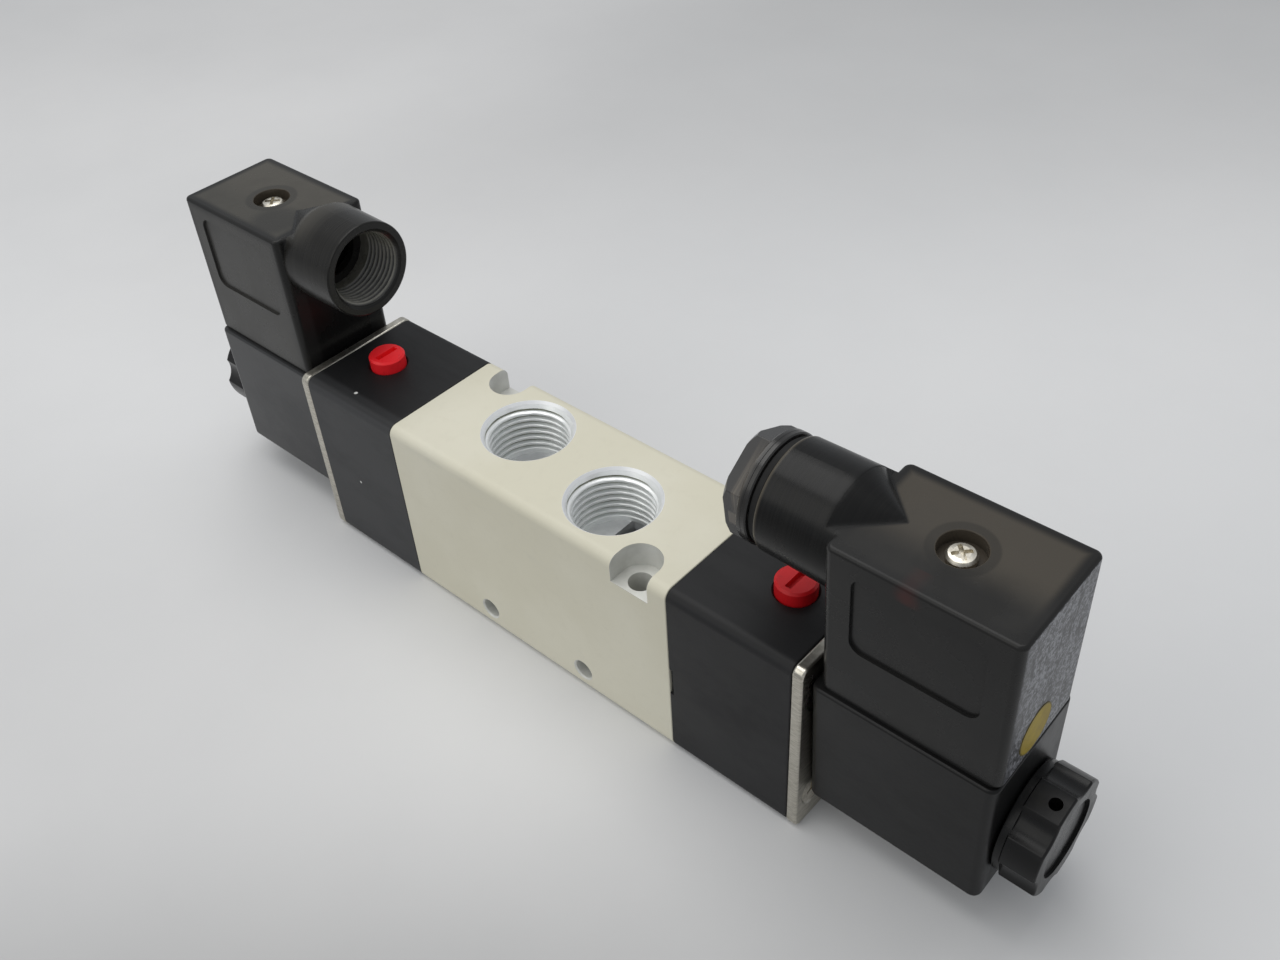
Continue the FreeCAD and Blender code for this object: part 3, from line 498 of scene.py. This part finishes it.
def mat_button():
    g = Graph("button_red")
    x, y, z = g.xyz()
    n = g.noise(60.0, 4.0, 0.6)
    shaded_red = g.mix(g.ramp(n, 0.3, 0.7), lin(0.54, 0.007, 0.011), lin(0.68, 0.012, 0.017))
    lit_red = g.mix(g.ramp(n, 0.3, 0.7), lin(0.84, 0.012, 0.019), lin(0.97, 0.020, 0.028))
    # painted shade: the right button is a darker copy of the left one's red
    c = g.mix(x < 0.0, shaded_red, lit_red)
    c = g.mix(g.ramp(g.noise(700.0, 3.0, 0.6), 0.58, 0.75) * 0.25, c, lin(0.30, 0.01, 0.012))
    g.set(color=c)
    g.set(rough=g.mixf(g.ramp(g.noise(90.0, 4.0, 0.6), 0.35, 0.7), 0.34, 0.46), spec=0.3)
    g.set(normal=g.bump(g.noise(700.0, 2.0, 0.5), 0.3, 0.00002))
    return g.mat


def mat_copper_winding():
    g = Graph("enamelled_wire")
    w = g.node("ShaderNodeTexWave", wave_type="BANDS", bands_direction="X")
    g.put(w.inputs["Vector"], g.pos)
    w.inputs["Scale"].default_value = 560.0
    w.inputs["Distortion"].default_value = 0.3
    f = S(g, w.outputs["Fac"])
    g.set(color=g.mix(f, lin(0.30, 0.075, 0.025), lin(0.62, 0.22, 0.08)))
    g.set(metal=0.85, rough=g.mixf(f, 0.42, 0.28))
    g.set(normal=g.bump(f, 0.7, 0.0002))
    return g.mat


MAT = {
    "body_paint": mat_body(),
    "block_black": mat_black("anodised_black", lin(0.0105, 0.0105, 0.0115), lin(0.0155, 0.0155, 0.0165), 0.50, 0.62,
                             grain=1300.0, grain_h=0.00004, specks=0.02, spec=0.30,
                             painted_sheen_left=0.34, shade_top=0.45, chips=((-0.05926, -0.01287, 0.0494, 0.00045), (-0.06038, -0.0170, 0.02297, 0.00035))),
    "coil_black": mat_black("moulded_black", lin(0.0085, 0.0085, 0.0088), lin(0.0125, 0.0122, 0.012), 0.32, 0.45,
                            grain=900.0, grain_h=0.00004, specks=0.012, spec=0.24, painted_sheen_left=0.34, shade_end=0.55),
    "nut_black": mat_black("nut_black", lin(0.0045, 0.0045, 0.0047), lin(0.0080, 0.0078, 0.0076), 0.26, 0.40,
                           grain=700.0, grain_h=0.00004, spec=0.28),
    "rubber_black": mat_black("gasket_rubber", lin(0.008, 0.008, 0.008), lin(0.013, 0.013, 0.013), 0.7, 0.85, spec=0.3),
    "seal_rubber": mat_black("seal_rubber", lin(0.010, 0.010, 0.010), lin(0.018, 0.018, 0.018), 0.55, 0.75, spec=0.35),
    "plate_nickel": mat_metal("nickel_plate", lin(0.43, 0.41, 0.35), lin(0.66, 0.63, 0.56), (0.26, 0.42), (2, 2, 14)),
    "screw_nickel": mat_metal("nickel_screw", lin(0.60, 0.56, 0.47), lin(0.86, 0.82, 0.73), (0.26, 0.42), (1, 1, 1), 700.0, 0.00005),
    "steel_bright": mat_metal("bright_steel", lin(0.48, 0.49, 0.50), lin(0.66, 0.67, 0.68), (0.20, 0.34), (8, 1, 1)),
    "spring_steel": mat_metal("spring_steel", lin(0.42, 0.42, 0.43), lin(0.60, 0.60, 0.61), (0.22, 0.36)),
    "spool_alu": mat_metal("spool_alloy", lin(0.56, 0.57, 0.58), lin(0.75, 0.76, 0.76), (0.25, 0.40), (10, 1, 1)),
    "brass": mat_metal("brass", lin(0.55, 0.38, 0.14), lin(0.72, 0.52, 0.22), (0.22, 0.36)),
    "terminal_tin": mat_metal("tinned_blade", lin(0.55, 0.56, 0.56), lin(0.74, 0.75, 0.74), (0.28, 0.42)),
    "copper_wire": mat_copper_winding(),
    "bobbin_plastic": mat_plastic("bobbin_plastic", lin(0.03, 0.03, 0.03), lin(0.05, 0.05, 0.05)),
    "block_plastic": mat_plastic("terminal_plastic", lin(0.016, 0.016, 0.017), lin(0.026, 0.026, 0.027), (0.4, 0.55)),
    "lamp_red": mat_plastic("lamp_red", lin(0.55, 0.02, 0.015), lin(0.70, 0.05, 0.03), (0.12, 0.2)),
    "piston_plastic": mat_plastic("piston_plastic", lin(0.55, 0.53, 0.47), lin(0.66, 0.64, 0.58)),
    "button_red": mat_button(),
    "connector_smoke": mat_smoke(),
    "gland_smoke": mat_gland(),
}

SLOT_OF = {}
for m in frame["record"]["materials"]:
    for n in m.get("nodes", []) or []:
        SLOT_OF[n] = m["slot"]

for n, o in NODES.items():
    names = [s.material.name.split(".")[0] if s.material else "" for s in o.material_slots]
    key = SLOT_OF.get(n) or (names[0] if names else None)
    for s in o.material_slots:
        s.material = MAT.get(key, MAT["steel_bright"])


# ------------------------------------------------------------------ mesh helpers
def mesh_object(name, verts, faces, mat, body, smooth=True, sharp_deg=35.0):
    me = bpy.data.meshes.new(name)
    me.from_pydata([tuple(v) for v in verts], [], faces)
    me.validate()
    bm = bmesh.new()
    bm.from_mesh(me)
    bmesh.ops.recalc_face_normals(bm, faces=bm.faces)
    bm.to_mesh(me)
    bm.free()
    for p in me.polygons:
        p.use_smooth = smooth
    if smooth:
        me.set_sharp_from_angle(angle=math.radians(sharp_deg))
    ob = bpy.data.objects.new(name, me)
    bpy.context.scene.collection.objects.link(ob)
    me.materials.append(mat)
    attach(ob, body)
    return ob


def thread_sleeve(name, centre, axis, ref, r_major, r_minor, pitch, mouth_r, length, t_run, mat, body,
                  n_ang=120, rows_per_pitch=11, phase=0.0, lead=1.0, land=0.14):
    """Internal thread: a sleeve whose inside is a helical ridge between the two radii.
    centre is on the mouth's face, axis points inwards, t runs inwards in metres."""
    axis = Vector(axis).normalized()
    u = Vector(ref).normalized()
    v = axis.cross(u)
    centre = Vector(centre)
    r_out = r_major + 0.00003
    t0 = max(0.0, mouth_r - r_out)          # where the chamfer meets the sleeve's outside
    step = pitch / rows_per_pitch
    m = int(math.ceil((length - t0) / step))
    verts, faces = [], []

    def radius(t, a):
        ph = (t / pitch - a / (2 * math.pi) - phase) % 1.0
        w = abs(2 * ph - 1)                   # 1 in the root, 0 on the crest
        w = min(1.0, max(0.0, (w - land) / (0.86 - land)))
        w = w * w * (3 - 2 * w) * 0.35 + w * 0.65
        fade = 1.0 - min(1.0, max(0.0, (t - t_run) / (pitch * 0.8)))
        r = r_minor + (r_major - r_minor) * w * fade
        return min(r_out, max(r, r_out - (t - t0) * lead))

    for j in range(m + 1):
        t = t0 + (length - t0) * j / m
        for i in range(n_ang):
            a = 2 * math.pi * i / n_ang
            r = radius(t, a)
            if j == 0:
                r = r_out
            verts.append(centre + axis * t + (u * math.cos(a) + v * math.sin(a)) * r)
    base = len(verts)
    for t in (length,):
        for i in range(n_ang):
            a = 2 * math.pi * i / n_ang
            verts.append(centre + axis * t + (u * math.cos(a) + v * math.sin(a)) * r_out)
    for j in range(m):
        for i in range(n_ang):
            k = (i + 1) % n_ang
            faces.append((j * n_ang + i, j * n_ang + k, (j + 1) * n_ang + k, (j + 1) * n_ang + i))
    for i in range(n_ang):
        k = (i + 1) % n_ang
        faces.append((m * n_ang + i, m * n_ang + k, base + k, base + i))
        faces.append((base + i, base + k, k, i))
    return mesh_object(name, verts, faces, mat, body, sharp_deg=50.0)


THREAD = mat_thread()
for tag, (px, py, pr) in zip("ab", PORTS_UP):
    thread_sleeve("port_thread_" + tag, (px, py, TOP), (0, 0, -1), (1, 0, 0), 0.01048, 0.009316, 0.001814,
                  0.0111, 0.0146, 0.0128, THREAD, "valve", rows_per_pitch=14, phase=0.41,
                  lead=0.62, land=0.30)
for tag, (px, py, pr) in zip("prs", PORTS_DOWN):
    big = tag == "p"
    thread_sleeve("port_thread_" + tag, (px, py, 0.0), (0, 0, 1), (1, 0, 0),
                  0.01048 if big else 0.00833, 0.009316 if big else 0.00747, 0.001814 if big else 0.001337,
                  0.0111 if big else 0.0089, 0.012, 0.0104, THREAD, "valve", n_ang=96,
                  lead=0.62, land=0.30)

# thread in the open cable boss of the left connector
thread_sleeve("left_boss_thread", (-0.0620, 0.0, 0.0766), (-1, 0, 0), (0, 0, 1), 0.0093, 0.00865, 0.00141,
              0.0099, 0.0139, 0.0105, mat_boss_thread(), "left_coil", n_ang=110)


# ------------------------------------------------------------------ springs
# The CAD springs ride rigidly with the piece that presses them. These stand for them:
# steel copies attached to the valve body, with the CAD springs hidden.
def live_spring(node, axis, anchor, stroke):
    src = NODES[node]
    ob = bpy.data.objects.new(node + "_live", src.data.copy())
    bpy.context.scene.collection.objects.link(ob)
    ob.matrix_world = src.matrix_world.copy()
    for slot in ob.material_slots:
        slot.material = MAT["spring_steel"]
    ax = Vector(axis)
    top = max((ob.matrix_world @ v.co - Vector(anchor)).dot(ax) for v in ob.data.vertices)
    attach(ob, "valve")
    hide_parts(node)
    1.0 - stroke / top
    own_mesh(ob)
    return ob


for sgn, side in ((-1, "left"), (1, "right")):
    live_spring(side + "_override_spring", (0, 0, 1), (sgn * 0.0623, 0.0, 0.0350), 0.0015)
    live_spring(side + "_plunger_spring", (-sgn, 0, 0), (sgn * 0.0950, 0.0, ZC), 0.0016)


# ------------------------------------------------------------------ sticker
def mat_sticker():
    g = Graph("yellow_label")
    x, y, z = g.xyz()
    c = rolled(0.1157, -0.0022, 0.0526)
    d = dist2(g, y, c.y, z, c.z)
    n = g.noise(220.0, 4.0, 0.6)
    base = g.mix(g.ramp(n, 0.35, 0.7), lin(0.27, 0.19, 0.012), lin(0.37, 0.27, 0.022))
    ring = g.ramp(d, 0.00500, 0.00508)
    g.set(color=g.mix(ring * 0.8, base, lin(0.10, 0.08, 0.02)))
    g.set(rough=g.mixf(n, 0.40, 0.55), spec=0.2)
    g.set(normal=g.bump(g.noise(350.0, 3.0, 0.5), 0.2, 0.00004))
    return g.mat


def disc_piece(name, centre, normal, ref, r, thick, mat, body, n=96, edge=0.00004):
    """Thin round label with a softened edge, lying on a face."""
    normal = Vector(normal).normalized()
    u = Vector(ref).normalized()
    v = normal.cross(u)
    rings = [(r, 0.0), (r, thick - edge), (r - edge, thick)] + [(r * f, thick) for f in (0.8, 0.5, 0.2)]
    verts, faces = [], []
    for rr, h in rings:
        for i in range(n):
            a = 2 * math.pi * i / n
            verts.append(Vector(centre) + normal * h + (u * math.cos(a) + v * math.sin(a)) * rr)
    top = len(verts)
    verts.append(Vector(centre) + normal * thick)
    bot = len(verts)
    verts.append(Vector(centre))
    for j in range(len(rings) - 1):
        for i in range(n):
            k = (i + 1) % n
            faces.append((j * n + i, j * n + k, (j + 1) * n + k, (j + 1) * n + i))
    j = len(rings) - 1
    for i in range(n):
        k = (i + 1) % n
        faces.append((j * n + i, j * n + k, top))
        faces.append((k, i, bot))
    return mesh_object(name, verts, faces, mat, body)


R_ROLL = Matrix.Rotation(ROLL, 3, "X")
disc_piece("label_disc", rolled(0.11571, -0.0022, 0.0526), (1, 0, 0), R_ROLL @ Vector((0, 0, 1)), 0.00535, 0.00012,
           mat_sticker(), "right_coil")


# ------------------------------------------------------------------ floor, light, camera
def mat_floor():
    g = Graph("pale_floor")
    n = g.noise(2.6, 4.0, 0.55)
    f = g.noise(300.0, 3.0, 0.5)
    x, y, z = g.xyz()
    pale = g.mix(g.ramp(n, 0.30, 0.72), lin(0.695, 0.698, 0.702), lin(0.750, 0.747, 0.747))
    # painted shade: the sheet is a little darker behind and in front
    v = y * 0.72 - x * 0.69
    back = g.ramp(v, 0.07, 0.29) * 0.235 * (1.0 - g.ramp(x, -0.18, -0.30) * 0.45) + g.ramp(v, 0.28, 0.40) * 0.06
    front = g.ramp(v, -0.035, -0.145) * g.ramp(x, 0.22, 0.03) * 0.38 + g.ramp(y, -0.01, -0.12) * 0.15
    mottle = g.noise(26.0, 5.0, 0.62)
    pale = g.mix(g.ramp(mottle, 0.35, 0.75) * 0.10, pale, lin(0.60, 0.60, 0.605))
    g.set(color=g.mix(back + front, pale, lin(0.0, 0.0, 0.0)))
    g.set(rough=0.85, spec=0.2)
    g.set(normal=g.bump(f, 0.08, 0.0002))
    return g.mat


bm = bmesh.new()
bmesh.ops.create_grid(bm, x_segments=4, y_segments=4, size=4.0)
me = bpy.data.meshes.new("floor")
bm.to_mesh(me)
bm.free()
floor = bpy.data.objects.new("floor", me)
floor.location = (0, 0, 0)
me.materials.append(mat_floor())
bpy.context.scene.collection.objects.link(floor)

world = bpy.data.worlds.new("world")
bpy.context.scene.world = world
world.use_nodes = True
bg = world.node_tree.nodes["Background"]
bg.inputs[0].default_value = (0.93, 0.96, 1.0, 1.0)
bg.inputs[1].default_value = 0.52


def area(name, loc, target, sx, sy, power, color=(1, 1, 1)):
    d = bpy.data.lights.new(name, "AREA")
    d.shape = "RECTANGLE"
    d.size, d.size_y = sx, sy
    d.energy = power
    d.color = color
    o = bpy.data.objects.new(name, d)
    o.location = loc
    o.rotation_euler = (Vector(target) - Vector(loc)).to_track_quat("-Z", "Y").to_euler()
    bpy.context.scene.collection.objects.link(o)
    return o


area("key", (-0.22, 0.04, 0.92), (-0.04, 0.0, 0.0), 0.8, 0.8, 4.3, (1.0, 0.99, 0.97))
area("fill", (-0.35, -0.85, 0.75), (0.0, 0.0, 0.03), 0.8, 0.8, 2.2, (1.0, 0.98, 0.92))

cam_d = bpy.data.cameras.new("cam")
cam_d.lens = 36.122
cam_d.sensor_width = 36.0
cam_d.sensor_fit = "HORIZONTAL"
cam_d.clip_start, cam_d.clip_end = 0.01, 20.0
cam = bpy.data.objects.new("cam", cam_d)
Rr = ((0.749326, 0.6602, -0.051454), (0.406615, -0.520049, -0.751141), (-0.522662, 0.541927, -0.658134))
right, down, fwd = (Vector(r) for r in Rr)
up, back = -down, -fwd
cam.matrix_world = Matrix((
    (right.x, up.x, back.x, 0.163083),
    (right.y, up.y, back.y, -0.146776),
    (right.z, up.z, back.z, 0.234462),
    (0, 0, 0, 1)))
bpy.context.scene.collection.objects.link(cam)
bpy.context.scene.camera = cam
bpy.context.scene.view_settings.view_transform = "Standard"
